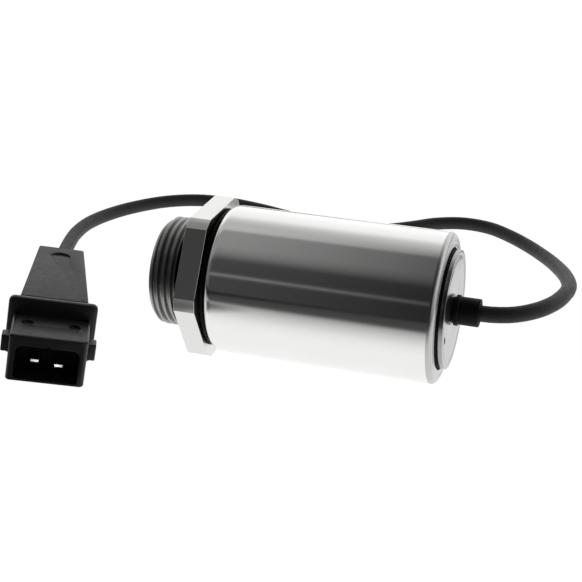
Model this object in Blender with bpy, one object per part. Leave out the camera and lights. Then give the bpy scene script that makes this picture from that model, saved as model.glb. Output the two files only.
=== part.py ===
"""Screw-in solenoid cartridge valve with a flying lead and a two-way plug.

The valve lies on its side on a flat surface at z = 0.  +X runs along the valve
axis from the threaded nose to the cable gland, +Z is up, and the origin is
under the middle of the valve body.  All sizes are in metres.
"""

import math

import bmesh
import bpy
from mathutils import Euler, Matrix, Vector

MM = 0.001
GAP = 0.3 * MM                      # running and seating gap between pieces

# ---- driving dimensions of the valve body -------------------------------
BARREL_R = 16.25 * MM               # outer radius of the coil barrel
BARREL_WALL = 1.5 * MM
AXIS_Z = BARREL_R                   # the barrel rests on z = 0
HEX_AF = 32.0 * MM                  # spanner size across the flats
HEX_TURNED_D = 35.4 * MM            # turned diameter over the hex corners
THREAD_R = 12.0 * MM                # M24 x 1.5 male thread
THREAD_PITCH = 1.5 * MM
THREAD_DEPTH = 0.92 * MM
UNDERCUT_R = 10.5 * MM
NECK_R = 13.6 * MM                  # groove between the hex and the barrel
ORIFICE_R = 1.25 * MM
STROKE = 1.2 * MM                   # lift of the armature off the seat

# ---- stations along the valve axis ---------------------------------------
NOSE_X = -35.3 * MM
THREAD_END_X = -28.9 * MM
HEX_FRONT_X = -26.65 * MM
HEX_REAR_X = -22.0 * MM
BARREL_FRONT_X = -20.8 * MM
SPIGOT_END_X = -15.0 * MM
SEAT_X = -29.0 * MM                 # the raised lip the poppet closes on
SHOULDER_X = -24.2 * MM             # the guide tube seats against this step
POLE_FACE_X = -2.0 * MM
SHIM_X = POLE_FACE_X - 0.7 * MM     # front face of the anti-residual disc
ARMATURE_REAR_X = SHIM_X - GAP - STROKE
BARREL_REAR_X = 28.35 * MM
PLATE_X = 29.8 * MM                 # outer face of the end plate
GLAND_END_X = 35.3 * MM

# ---- guide tube and coil -------------------------------------------------
TUBE_R = 6.1 * MM
TUBE_WALL = 0.5 * MM
ARMATURE_R = TUBE_R - TUBE_WALL - GAP
COUNTERBORE_R = 10.2 * MM
BOBBIN_R = 13.6 * MM
BOBBIN_FRONT_X = -14.6 * MM
BOBBIN_REAR_X = 20.6 * MM
FLANGE = 1.2 * MM
PLATE_R = 12.7 * MM
LIP_R = 13.05 * MM                  # opening in the barrel's rolled rear lip
LIP_FACE_R = 14.5 * MM              # where the lip's roll meets its flat rear face
LEAD_RADIUS = 9.5 * MM              # where the coil leads pass the flux washer

# ---- cable and plug ------------------------------------------------------
CABLE_R = 1.75 * MM
PLUG_AT = Vector((-49.3, -33.7, 1.75)) * MM
PLUG_TURN = Euler((0.0, math.radians(9.2), math.radians(23.7)))
PLUG_PLACE = Matrix.Translation(PLUG_AT) @ PLUG_TURN.to_matrix().to_4x4()
SHROUD_W = 16.2 * MM
SHROUD_H = 10.55 * MM
SHROUD_Z = 4.85 * MM                # middle of the shroud's height
SHROUD_DEPTH = 11.6 * MM
COLLAR_W = 18.8 * MM
COLLAR_H = 13.4 * MM
COLLAR_T = 1.5 * MM
LUG_REACH = 1.7 * MM                # catch lugs on the sides of the shroud
HUB_LENGTH = 7.0 * MM               # part of the housing inside the boot
CAVITY_W = 13.2 * MM
CAVITY_H = 7.4 * MM
CAVITY_DEPTH = 9.4 * MM
CAVITY_Z = 3.95 * MM                # heights over the level of the collar's foot
CONTACT_Z = 3.75 * MM
CONTACT_TIPS = {"left": 1.8 * MM, "right": 0.6 * MM}    # behind the mating face
CONTACT_PITCH = 5.0 * MM
BOOT_FRONT_Y = SHROUD_DEPTH + COLLAR_T + GAP
BOOT_END_Y = 49.8 * MM
BOOT_Z = 6.4 * MM

# The lead leaves the gland, sinks to the surface behind the valve and comes
# back round the nose to the plug.
CABLE_ROUTE = [
    (37.6, 0.1, 16.25), (42.2, 1.9, 16.2), (46.4, 6.3, 16.0), (49.3, 13.1, 15.3),
    (50.7, 21.8, 14.0), (50.8, 30.8, 12.1), (49.8, 39.8, 9.9), (48.2, 48.8, 7.7),
    (46.1, 57.5, 5.6), (43.4, 66.0, 3.8), (39.8, 73.9, 2.5), (35.3, 80.7, 1.9),
    (29.7, 86.4, 1.8), (23.4, 90.7, 1.8), (15.9, 91.7, 1.8), (8.8, 88.8, 1.8),
    (2.8, 83.5, 1.8), (-3.5, 79.0, 1.8), (-11.6, 76.8, 1.8), (-21.2, 77.3, 1.8),
    (-31.3, 79.6, 1.8), (-40.6, 82.5, 1.8), (-50.7, 84.4, 1.8), (-60.2, 83.7, 1.8),
    (-68.6, 79.2, 1.8), (-75.1, 71.3, 1.9), (-78.9, 62.1, 2.3), (-79.9, 51.9, 3.2),
    (-78.4, 41.4, 4.3), (-75.5, 31.6, 5.5), (-72.0, 21.9, 6.9),
]

STEEL = (0.60, 0.60, 0.58)
BLACK = (0.012, 0.012, 0.013)


# ---- general helpers -----------------------------------------------------
def clear_scene():
    for item in list(bpy.data.objects):
        bpy.data.objects.remove(item, do_unlink=True)


def material(name, colour, roughness, metallic):
    mat = bpy.data.materials.new(name)
    mat.use_nodes = True
    shader = mat.node_tree.nodes["Principled BSDF"]
    shader.inputs["Base Color"].default_value = (*colour, 1.0)
    shader.inputs["Roughness"].default_value = roughness
    shader.inputs["Metallic"].default_value = metallic
    mat.diffuse_color = (*colour, 1.0)
    return mat


def add_object(name, data, look=None, parent=None, location=(0, 0, 0)):
    obj = bpy.data.objects.new(name, data)
    bpy.context.scene.collection.objects.link(obj)
    obj.parent = parent
    obj.location = location
    if look:
        data.materials.append(material(name, *look))
    return obj


def mesh_from(bm, name):
    bmesh.ops.recalc_face_normals(bm, faces=bm.faces)
    mesh = bpy.data.meshes.new(name)
    bm.to_mesh(mesh)
    bm.free()
    mesh.shade_smooth()
    mesh.set_sharp_from_angle(angle=math.radians(32))
    return mesh


def as_cutter(obj):
    obj.hide_render = True
    obj.display_type = "WIRE"
    return obj


def boolean(target, tool, operation="DIFFERENCE"):
    as_cutter(tool)
    mod = target.modifiers.new(tool.name, "BOOLEAN")
    mod.operation = operation
    mod.object = tool
    mod.solver = "EXACT"


def even_angles(count):
    return [2 * math.pi * i / count for i in range(count)]


def ring(bm, x, radius, angles):
    """One ring of points round the X axis; radius is a length or f(x, angle)."""
    points = []
    for a in angles:
        r = radius(x, a) if callable(radius) else radius
        points.append(bm.verts.new((x, r * math.cos(a), r * math.sin(a))))
    return points


def turned(name, profile, look=None, angles=None, closed=True):
    """Turn a list of (x, radius) about the valve axis.

    A closed profile makes a tube; an open one is capped at both ends.
    """
    angles = angles or even_angles(28)
    bm = bmesh.new()
    rings = [ring(bm, x, r, angles) for x, r in profile]
    pairs = list(zip(rings, rings[1:]))
    if closed:
        pairs.append((rings[-1], rings[0]))
    else:
        bm.faces.new(rings[0])
        bm.faces.new(rings[-1])
    count = len(angles)
    for a, b in pairs:
        for i in range(count):
            j = (i + 1) % count
            bm.faces.new((a[i], a[j], b[j], b[i]))
    return add_object(name, mesh_from(bm, name), look, location=(0, 0, AXIS_Z))


def tube_profile(x0, x1, inner, outer):
    return [(x0, inner), (x0, outer), (x1, outer), (x1, inner)]


def torus_profile(x, middle, section, sides=8):
    turn = [2 * math.pi * i / sides for i in range(sides)]
    return [(x + section * math.cos(t), middle + section * math.sin(t)) for t in turn]


def rounded_rectangle(width, height, corner, segments=3):
    """Corner points (x, z) of a rounded rectangle centred on the origin."""
    points = []
    for sx, sz, start in ((1, 1, 0), (-1, 1, 90), (-1, -1, 180), (1, -1, 270)):
        cx = sx * (width / 2 - corner)
        cz = sz * (height / 2 - corner)
        for i in range(segments + 1):
            t = math.radians(start + 90 * i / segments)
            points.append((cx + corner * math.cos(t), cz + corner * math.sin(t)))
    return points


def prism(name, sections, look=None, parent=None):
    """Loft rounded rectangles (y, z centre, width, height, corner) along Y."""
    bm = bmesh.new()
    loops = []
    for y, z, width, height, corner in sections:
        outline = rounded_rectangle(width, height, corner)
        loops.append([bm.verts.new((px, y, z + pz)) for px, pz in outline])
    for a, b in zip(loops, loops[1:]):
        for i in range(len(a)):
            j = (i + 1) % len(a)
            bm.faces.new((a[i], a[j], b[j], b[i]))
    bm.faces.new(loops[0])
    bm.faces.new(loops[-1])
    return add_object(name, mesh_from(bm, name), look, parent)


def box(name, x, y, z, look=None, parent=None):
    """Box between the pairs x, y and z."""
    bm = bmesh.new()
    bmesh.ops.create_cube(bm, size=1.0)
    size = Vector((x[1] - x[0], y[1] - y[0], z[1] - z[0]))
    middle = Vector((x[0] + x[1], y[0] + y[1], z[0] + z[1])) / 2
    bm.transform(Matrix.Translation(middle) @ Matrix.Diagonal((*size, 1.0)))
    return add_object(name, mesh_from(bm, name), look, parent)


def rods(name, centres, radius, x0, x1, sides=12):
    """Cutter: one cylinder along X at each (y, z) centre about the valve axis."""
    bm = bmesh.new()
    for y, z in centres:
        made = bmesh.ops.create_cone(bm, cap_ends=True, segments=sides, radius1=radius,
                                     radius2=radius, depth=x1 - x0)
        turn = Matrix.Rotation(math.pi / 2, 4, "Y")
        place = Matrix.Translation(((x0 + x1) / 2, y, z))
        bmesh.ops.transform(bm, matrix=place @ turn, verts=made["verts"])
    return add_object(name, mesh_from(bm, name), location=(0, 0, AXIS_Z))


def wire(name, points, radius, look, resolution=2):
    """Round wire through world points, as a capped poly curve."""
    curve = bpy.data.curves.new(name, "CURVE")
    curve.dimensions = "3D"
    curve.bevel_depth = radius
    curve.bevel_resolution = resolution
    curve.use_fill_caps = True
    spline = curve.splines.new("POLY")
    spline.points.add(len(points) - 1)
    for point, place in zip(spline.points, points):
        point.co = (*place, 1.0)
    return add_object(name, curve, look)


def smooth_route(points, step):
    """Evenly spaced points on a Catmull-Rom curve through the given ones."""
    ends = [2 * points[0] - points[1], *points, 2 * points[-1] - points[-2]]
    dense = []
    for a, b, c, d in zip(ends, ends[1:], ends[2:], ends[3:]):
        for i in range(24):
            t = i / 24
            dense.append(0.5 * (2 * b + (c - a) * t + (2 * a - 5 * b + 4 * c - d) * t * t
                                + (3 * b - a - 3 * c + d) * t ** 3))
    dense.append(points[-1])
    length = sum((q - p).length for p, q in zip(dense, dense[1:]))
    count = round(length / step)
    out, walked, target = [dense[0]], 0.0, length / count
    for p, q in zip(dense, dense[1:]):
        span = (q - p).length
        while walked + span >= target - 1e-9 and len(out) < count:
            out.append(p.lerp(q, (target - walked) / span))
            target += length / count
        walked += span
    return [*out, dense[-1]]


# ---- nose, seat and seals ------------------------------------------------
def hex_radius(shrink):
    """Radius of the turned hexagon, with a flat facing straight down."""
    def radius(x, angle):
        sector = math.radians(60)
        off = (angle - math.radians(90) + sector / 2) % sector - sector / 2
        return min((HEX_AF / 2 - shrink) / math.cos(off), HEX_TURNED_D / 2 - shrink)
    return radius


def thread_radius(x, angle):
    """Helical 60 degree thread that fades out at both ends."""
    phase = (x / THREAD_PITCH - angle / (2 * math.pi)) % 1.0
    ramp = 1 - abs(2 * phase - 1)
    form = min(max((ramp - 0.1) / 0.75, 0.0), 1.0)
    crest = min(THREAD_R, THREAD_R - THREAD_DEPTH + (x - NOSE_X - 0.5 * MM))
    root = min(THREAD_R - THREAD_DEPTH, crest)
    return root + (crest - root) * form


def nose_angles():
    """Angles that put a point on each edge between a hex flat and its arc."""
    edge = math.degrees(math.acos(HEX_AF / HEX_TURNED_D))
    steps = [-30, -edge, -edge * 2 / 3, -edge / 3, 0, edge / 3, edge * 2 / 3, edge]
    return [math.radians(90 + 60 * side + s) for side in range(6) for s in steps]


def make_nose():
    chamfer = 0.35 * MM
    relief = 0.2 * MM               # keeps the sealing face clear of the undercut
    rows = 18
    first = NOSE_X + 0.7 * MM
    thread = [(first + (THREAD_END_X - first) * i / rows, thread_radius) for i in range(rows + 1)]
    profile = [
        (NOSE_X, 5.0 * MM), (NOSE_X, 10.2 * MM), *thread,
        (THREAD_END_X + 0.5 * MM, UNDERCUT_R), (HEX_FRONT_X + relief, UNDERCUT_R),
        (HEX_FRONT_X + relief, THREAD_R + 0.5 * MM), (HEX_FRONT_X, THREAD_R + 0.5 * MM),
        (HEX_FRONT_X, hex_radius(chamfer)), (HEX_FRONT_X + chamfer, hex_radius(0)),
        (HEX_REAR_X - chamfer, hex_radius(0)), (HEX_REAR_X, hex_radius(chamfer)),
        (HEX_REAR_X, NECK_R), (BARREL_FRONT_X, NECK_R),
        (BARREL_FRONT_X, BARREL_R - BARREL_WALL - GAP),
        (SPIGOT_END_X, BARREL_R - BARREL_WALL - GAP), (SPIGOT_END_X, COUNTERBORE_R),
        (SHOULDER_X, COUNTERBORE_R), (SHOULDER_X, 8.6 * MM), (SEAT_X - 0.3 * MM, 8.6 * MM),
        (SEAT_X - 0.3 * MM, 3.2 * MM), (NOSE_X + 5.0 * MM, 3.2 * MM), (NOSE_X + 5.0 * MM, 5.0 * MM),
    ]
    nose = turned("nose_body", profile, (STEEL, 0.32, 1.0), nose_angles())
    holes = [(7.1 * MM * math.cos(a), 7.1 * MM * math.sin(a)) for a in even_angles(6)]
    boolean(nose, rods("outlet_drill", holes, 1.1 * MM, NOSE_X - MM, SEAT_X + MM))


def make_seat():
    body_end = NOSE_X + 5.0 * MM - GAP
    pocket = NOSE_X + 1.2 * MM
    seat = [
        (NOSE_X + 0.2 * MM, 2.9 * MM), (NOSE_X + 0.2 * MM, 4.7 * MM), (body_end, 4.7 * MM),
        (body_end, 2.9 * MM), (SEAT_X - 0.5 * MM, 2.9 * MM), (SEAT_X, 1.9 * MM),
        (SEAT_X, ORIFICE_R), (pocket + 2.0 * MM, ORIFICE_R), (pocket, 2.4 * MM), (pocket, 2.9 * MM),
    ]
    turned("seat_insert", seat, ((0.72, 0.50, 0.18), 0.3, 1.0), even_angles(32))
    disc = [(NOSE_X + 0.4 * MM, 2.55 * MM), (NOSE_X + 0.85 * MM, 2.55 * MM)]
    screen = turned("filter_screen", disc, (STEEL, 0.45, 1.0), even_angles(32), closed=False)
    mesh_holes = [(0.0, 0.0)]
    mesh_holes += [(1.5 * MM * math.cos(a), 1.5 * MM * math.sin(a)) for a in even_angles(6)]
    boolean(screen, rods("screen_drill", mesh_holes, 0.38 * MM, NOSE_X, NOSE_X + 2 * MM, 8))


def make_seals():
    rubber = (BLACK, 0.55, 0.0)
    middle = (THREAD_END_X + 0.5 * MM + HEX_FRONT_X) / 2
    turned("port_o_ring", torus_profile(middle, UNDERCUT_R + GAP + 0.75 * MM, 0.75 * MM), rubber)
    groove = tube_profile(HEX_REAR_X + 0.25 * MM, BARREL_FRONT_X - 0.25 * MM,
                          NECK_R + GAP, 15.2 * MM)
    turned("hex_seal_ring", groove, rubber)
    turned("tube_o_ring", torus_profile(SHOULDER_X + MM, 9.1 * MM, 0.7 * MM), rubber)


# ---- magnet circuit and moving plunger -----------------------------------
def make_guide_tube():
    flange_x = SHOULDER_X + 2.0 * MM
    profile = [
        (flange_x, TUBE_R - TUBE_WALL), (flange_x, COUNTERBORE_R - GAP),
        (flange_x + FLANGE, COUNTERBORE_R - GAP), (flange_x + FLANGE, TUBE_R),
        (6.0 * MM, TUBE_R), (6.0 * MM, TUBE_R - TUBE_WALL),
    ]
    turned("guide_tube", profile, (STEEL, 0.25, 1.0))
    pole = tube_profile(flange_x + FLANGE + GAP, SPIGOT_END_X - GAP,
                        TUBE_R + GAP, COUNTERBORE_R - GAP)
    turned("front_pole_ring", pole, ((0.35, 0.35, 0.36), 0.45, 1.0))


def make_plunger():
    armature = [
        (-28.3 * MM, 3.3 * MM), (-28.3 * MM, 4.4 * MM), (-25.2 * MM, 4.4 * MM),
        (-24.6 * MM, ARMATURE_R), (ARMATURE_REAR_X, ARMATURE_R), (ARMATURE_REAR_X, 2.75 * MM),
        (-14.0 * MM, 2.75 * MM), (-14.0 * MM, 0.8 * MM), (-26.9 * MM, 0.8 * MM),
        (-26.9 * MM, 3.3 * MM),
    ]
    turned("armature", armature, ((0.45, 0.45, 0.46), 0.3, 1.0))
    disc = [(-28.8 * MM, 3.0 * MM), (-27.2 * MM, 3.0 * MM)]
    turned("poppet_seal", disc, ((0.30, 0.05, 0.03), 0.5, 0.0), even_angles(32), closed=False)


def make_return_spring():
    first, last, turns = -13.3 * MM, 1.35 * MM, 9
    per_turn = 12
    points = []
    for i in range(turns * per_turn + 1):
        t = i / (turns * per_turn)
        lift = t - math.sin(4 * math.pi * t) / (8 * math.pi)
        a = 2 * math.pi * turns * t
        points.append((first + (last - first) * lift, 2.0 * MM * math.cos(a),
                       AXIS_Z + 2.0 * MM * math.sin(a)))
    wire("return_spring", points, 0.35 * MM, (STEEL, 0.3, 1.0), resolution=1)


def make_pole_core():
    spigot = 4.5 * MM
    shoulder = BOBBIN_REAR_X + GAP
    core = [
        (POLE_FACE_X, 2.75 * MM), (POLE_FACE_X, ARMATURE_R), (6.3 * MM, ARMATURE_R),
        (6.3 * MM, TUBE_R), (shoulder, TUBE_R), (shoulder, spigot), (26.0 * MM, spigot),
        (26.0 * MM, 1.2 * MM), (2.0 * MM, 1.2 * MM), (2.0 * MM, 2.75 * MM),
    ]
    turned("pole_core", core, ((0.40, 0.40, 0.42), 0.35, 1.0))
    shim = tube_profile(SHIM_X, POLE_FACE_X - GAP, 3.1 * MM, 5.1 * MM)
    turned("anti_residual_disc", shim, ((0.75, 0.55, 0.22), 0.35, 1.0))
    washer_x = shoulder + GAP
    washer = turned("rear_flux_washer",
                    tube_profile(washer_x, washer_x + 2.8 * MM, spigot + GAP, 14.3 * MM),
                    ((0.35, 0.35, 0.36), 0.45, 1.0))
    leads = [(LEAD_RADIUS, 0.0), (-LEAD_RADIUS, 0.0)]
    boolean(washer, rods("lead_drill", leads, 1.2 * MM, washer_x - MM, washer_x + 4 * MM))
    nut_x = washer_x + 2.8 * MM + GAP
    turned("core_nut", tube_profile(nut_x, nut_x + 1.8 * MM, spigot + GAP, 7.0 * MM),
           (STEEL, 0.35, 1.0), even_angles(24))


def make_coil():
    inner = TUBE_R + 0.35 * MM
    core = 7.4 * MM
    bobbin = [
        (BOBBIN_FRONT_X, inner), (BOBBIN_FRONT_X, BOBBIN_R), (BOBBIN_FRONT_X + FLANGE, BOBBIN_R),
        (BOBBIN_FRONT_X + FLANGE, core), (BOBBIN_REAR_X - FLANGE, core),
        (BOBBIN_REAR_X - FLANGE, BOBBIN_R), (BOBBIN_REAR_X, BOBBIN_R), (BOBBIN_REAR_X, inner),
    ]
    turned("bobbin", bobbin, ((0.75, 0.72, 0.62), 0.5, 0.0))
    x0 = BOBBIN_FRONT_X + FLANGE + GAP
    x1 = BOBBIN_REAR_X - FLANGE - GAP
    turned("winding", tube_profile(x0, x1, core + GAP, 12.6 * MM), ((0.72, 0.30, 0.12), 0.35, 1.0))
    turned("coil_wrap", tube_profile(x0, x1, 12.9 * MM, BOBBIN_R), ((0.55, 0.42, 0.10), 0.5, 0.0))


def make_coil_leads():
    for side, sign in (("left", -1), ("right", 1)):
        start = BOBBIN_REAR_X + GAP
        points = [
            (start, sign * LEAD_RADIUS, AXIS_Z),
            (26.2 * MM, sign * LEAD_RADIUS, AXIS_Z),
            (26.9 * MM, sign * (LEAD_RADIUS - 0.7 * MM), AXIS_Z),
            (26.9 * MM, sign * 1.2 * MM, AXIS_Z),
        ]
        wire("coil_lead_" + side, points, 0.45 * MM, ((0.45, 0.04, 0.03), 0.45, 0.0))


# ---- housing and rear end ------------------------------------------------
def quarter(x, radius, length, height, steps=4):
    """Points (x, radius) of an eased outer edge that starts on the end face at x."""
    points = []
    for i in range(steps + 1):
        t = math.radians(90 * i / steps)
        points.append((x + length * (1 - math.cos(t)), radius - height * (1 - math.sin(t))))
    return points


def make_barrel():
    inner = BARREL_R - BARREL_WALL
    front = quarter(BARREL_FRONT_X, BARREL_R, 1.9 * MM, 1.2 * MM)
    rear = quarter(BARREL_REAR_X, BARREL_R, -1.25 * MM, BARREL_R - LIP_FACE_R)
    profile = [
        (BARREL_FRONT_X, inner), *front, *reversed(rear), (BARREL_REAR_X, LIP_R),
        (BARREL_REAR_X - 2.5 * MM, LIP_R), (BARREL_REAR_X - 2.65 * MM, inner),
    ]
    turned("barrel", profile, (STEEL, 0.16, 1.0), even_angles(56))


def make_rear_end():
    rim_back = PLATE_X - 0.9 * MM
    ring = tube_profile(25.6 * MM, rim_back - GAP, 11.8 * MM, LIP_R - GAP)
    turned("rear_seal_ring", ring, (BLACK, 0.5, 0.0), even_angles(40))
    plate = [
        (25.6 * MM, 10.3 * MM), (25.6 * MM, 11.5 * MM), (rim_back, 11.5 * MM),
        (rim_back, PLATE_R), (PLATE_X - 0.1 * MM, PLATE_R), (PLATE_X, PLATE_R - 0.1 * MM),
        (PLATE_X, 2.9 * MM), (28.2 * MM, 2.9 * MM), (28.2 * MM, 10.3 * MM),
    ]
    end_plate = turned("end_plate", plate, ((0.50, 0.50, 0.49), 0.4, 1.0), even_angles(40))
    slot = box("vent_slot", (PLATE_X - 0.8 * MM, PLATE_X + MM), (-0.85 * MM, 0.85 * MM),
               (9.2 * MM, 10.2 * MM))
    slot.location = (0, 0, AXIS_Z)
    slot.rotation_euler = (math.radians(109), 0, 0)
    boolean(end_plate, slot)


def make_gland():
    bore = CABLE_R + GAP
    profile = [
        (28.5 * MM, bore), (28.5 * MM, 2.6 * MM), (PLATE_X + GAP, 2.6 * MM),
        (PLATE_X + GAP, 3.3 * MM), (PLATE_X + 1.1 * MM, 3.3 * MM), (PLATE_X + 1.3 * MM, 3.0 * MM),
        (GLAND_END_X - GAP, 3.0 * MM), (GLAND_END_X, 2.8 * MM), (GLAND_END_X, bore),
    ]
    turned("cable_gland", profile, (BLACK, 0.5, 0.0), even_angles(32))


# ---- plug and cable ------------------------------------------------------
def make_plug():
    """The plug's own frame: mating face at y = 0 looking along -Y, base at z = 0."""
    frame = bpy.data.objects.new("plug_frame", None)
    bpy.context.scene.collection.objects.link(frame)
    frame.location = PLUG_AT
    frame.rotation_euler = PLUG_TURN
    hub_end = BOOT_FRONT_Y + HUB_LENGTH
    housing = prism("connector_housing", [
        (0.0, SHROUD_Z, SHROUD_W, SHROUD_H, 0.8 * MM),
        (SHROUD_DEPTH + MM, SHROUD_Z, SHROUD_W, SHROUD_H, 0.8 * MM),
    ], (BLACK, 0.45, 0.0), frame)
    boolean(housing, prism("collar", [
        (SHROUD_DEPTH, COLLAR_H / 2, COLLAR_W, COLLAR_H, 1.0 * MM),
        (SHROUD_DEPTH + COLLAR_T, COLLAR_H / 2, COLLAR_W, COLLAR_H, 1.0 * MM),
    ], parent=frame), "UNION")
    boolean(housing, prism("cavity", [
        (-MM, CAVITY_Z, CAVITY_W, CAVITY_H, 1.4 * MM),
        (CAVITY_DEPTH, CAVITY_Z, CAVITY_W, CAVITY_H, 1.4 * MM),
    ], parent=frame))
    boolean(housing, prism("hub", [
        (SHROUD_DEPTH + MM, BOOT_Z, 11.0 * MM, 7.6 * MM, 1.0 * MM),
        (hub_end, BOOT_Z, 11.0 * MM, 7.6 * MM, 1.0 * MM),
    ], parent=frame), "UNION")
    for side, sign in (("left", -1), ("right", 1)):
        reach = sorted((sign * (SHROUD_W / 2 - 0.4 * MM), sign * (SHROUD_W / 2 + LUG_REACH)))
        boolean(housing, box("lug_" + side, reach, (3.0 * MM, 6.0 * MM), (4.6 * MM, 8.3 * MM),
                             parent=frame), "UNION")
        x = sign * CONTACT_PITCH / 2
        boolean(housing, box("contact_way_" + side, (x - 1.7 * MM, x + 1.7 * MM),
                             (CAVITY_DEPTH - MM, hub_end + MM),
                             (CONTACT_Z - 0.7 * MM, CONTACT_Z + 0.7 * MM), parent=frame))
        make_contact(side, x, hub_end, frame)
    make_boot(hub_end, frame)


def make_contact(side, x, hub_end, frame):
    """A 2.8 x 0.8 mm blade with a narrowed tip."""
    half, thick, tip = 1.4 * MM, 0.4 * MM, 0.9 * MM
    front = CONTACT_TIPS[side]
    bm = bmesh.new()
    loops = []
    sections = ((front, tip, 0.2 * MM), (front + 1.4 * MM, half, thick), (hub_end, half, thick))
    for y, w, t in sections:
        corners = ((-w, -t), (w, -t), (w, t), (-w, t))
        loops.append([bm.verts.new((x + cx, y, CONTACT_Z + cz)) for cx, cz in corners])
    for a, b in zip(loops, loops[1:]):
        for i in range(4):
            bm.faces.new((a[i], a[(i + 1) % 4], b[(i + 1) % 4], b[i]))
    bm.faces.new(loops[0])
    bm.faces.new(loops[-1])
    name = "contact_" + side
    add_object(name, mesh_from(bm, name), ((0.80, 0.78, 0.72), 0.25, 1.0), frame)
    ends = [(x, hub_end + GAP, CONTACT_Z), (x * 0.75, hub_end + 2.2 * MM, BOOT_Z - 0.6 * MM),
            (x * 0.36, hub_end + 4.2 * MM, BOOT_Z)]
    points = [PLUG_PLACE @ Vector(p) for p in ends]
    wire("conductor_" + side, points, 0.5 * MM, ((0.25, 0.25, 0.27), 0.45, 0.0))


def make_boot(hub_end, frame):
    boot = prism("connector_boot", [
        (BOOT_FRONT_Y, BOOT_Z, 15.2 * MM, 10.8 * MM, 1.0 * MM),
        (BOOT_END_Y, BOOT_Z, 10.6 * MM, 8.4 * MM, 0.8 * MM),
    ], (BLACK, 0.6, 0.0), frame)
    boolean(boot, prism("hub_pocket", [
        (BOOT_FRONT_Y - MM, BOOT_Z, 11.6 * MM, 8.2 * MM, 1.0 * MM),
        (hub_end + GAP, BOOT_Z, 11.6 * MM, 8.2 * MM, 1.0 * MM),
        (hub_end + 4.5 * MM, BOOT_Z, 5.0 * MM, 5.0 * MM, 1.0 * MM),
    ], parent=frame))
    bore = prism("cable_bore", [
        (hub_end + 3.5 * MM, BOOT_Z, 4.2 * MM, 4.2 * MM, 2.05 * MM),
        (BOOT_END_Y + MM, BOOT_Z, 4.2 * MM, 4.2 * MM, 2.05 * MM),
    ], parent=frame)
    boolean(boot, bore)


def make_cable():
    inside_boot = BOOT_FRONT_Y + 12.0 * MM
    plug_end = [PLUG_PLACE @ Vector((0, y, BOOT_Z))
                for y in (BOOT_END_Y + 3.0 * MM, BOOT_END_Y - 2.0 * MM, inside_boot)]
    route = [Vector((28.5 * MM, 0, AXIS_Z)), Vector((33.5 * MM, 0, AXIS_Z))]
    route += [Vector(p) * MM for p in CABLE_ROUTE]
    route += plug_end
    wire("cable", smooth_route(route, 7.0 * MM), CABLE_R, (BLACK, 0.55, 0.0))


def main():
    clear_scene()
    make_nose()
    make_seat()
    make_seals()
    make_guide_tube()
    make_plunger()
    make_return_spring()
    make_pole_core()
    make_coil()
    make_coil_leads()
    make_barrel()
    make_rear_end()
    make_gland()
    make_plug()
    make_cable()


main()
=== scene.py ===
"""Looks for a solenoid cartridge valve with a flying lead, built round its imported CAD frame.

Row frame in metres: the valve lies along X, nose at -X, and rests on z = 0.
"""
import math

import bmesh
import bpy
from mathutils import Euler, Matrix, Vector


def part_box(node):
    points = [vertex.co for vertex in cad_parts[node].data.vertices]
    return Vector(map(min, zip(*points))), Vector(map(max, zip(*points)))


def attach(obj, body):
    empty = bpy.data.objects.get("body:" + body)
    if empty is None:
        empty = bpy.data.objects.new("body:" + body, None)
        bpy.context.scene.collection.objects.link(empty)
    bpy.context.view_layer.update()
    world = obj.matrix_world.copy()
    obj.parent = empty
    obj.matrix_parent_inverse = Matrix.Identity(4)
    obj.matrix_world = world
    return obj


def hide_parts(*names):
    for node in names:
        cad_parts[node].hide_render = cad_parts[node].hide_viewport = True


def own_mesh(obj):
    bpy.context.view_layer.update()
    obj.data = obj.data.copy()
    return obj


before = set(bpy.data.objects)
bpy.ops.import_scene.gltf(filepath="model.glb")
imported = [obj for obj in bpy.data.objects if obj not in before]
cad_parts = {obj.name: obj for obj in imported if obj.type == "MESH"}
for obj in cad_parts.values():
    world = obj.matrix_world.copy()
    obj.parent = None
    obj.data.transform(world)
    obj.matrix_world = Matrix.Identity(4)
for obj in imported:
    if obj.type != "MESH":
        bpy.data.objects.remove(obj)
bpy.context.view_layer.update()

MM = 0.001
GAP = 0.3 * MM                      # seating gap between pieces, as in the CAD

# ---- sizes read from the frame -------------------------------------------
BARREL_LOW, BARREL_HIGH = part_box("barrel")
NOSE_LOW, NOSE_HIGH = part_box("nose_body")
SPRING_LOW, SPRING_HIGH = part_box("return_spring")
BARREL_R = (BARREL_HIGH.z - BARREL_LOW.z) / 2
AXIS_Z = (BARREL_HIGH.z + BARREL_LOW.z) / 2
BARREL_FRONT = BARREL_LOW.x
BARREL_REAR = BARREL_HIGH.x
NOSE_X = NOSE_LOW.x
HEX_FLAT_R = (NOSE_HIGH.z - NOSE_LOW.z) / 2
HEX_CORNER_R = (NOSE_HIGH.y - NOSE_LOW.y) / 2
SPIGOT_END = NOSE_HIGH.x
PLATE_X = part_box("end_plate")[1].x
GLAND_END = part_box("cable_gland")[1].x

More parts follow.
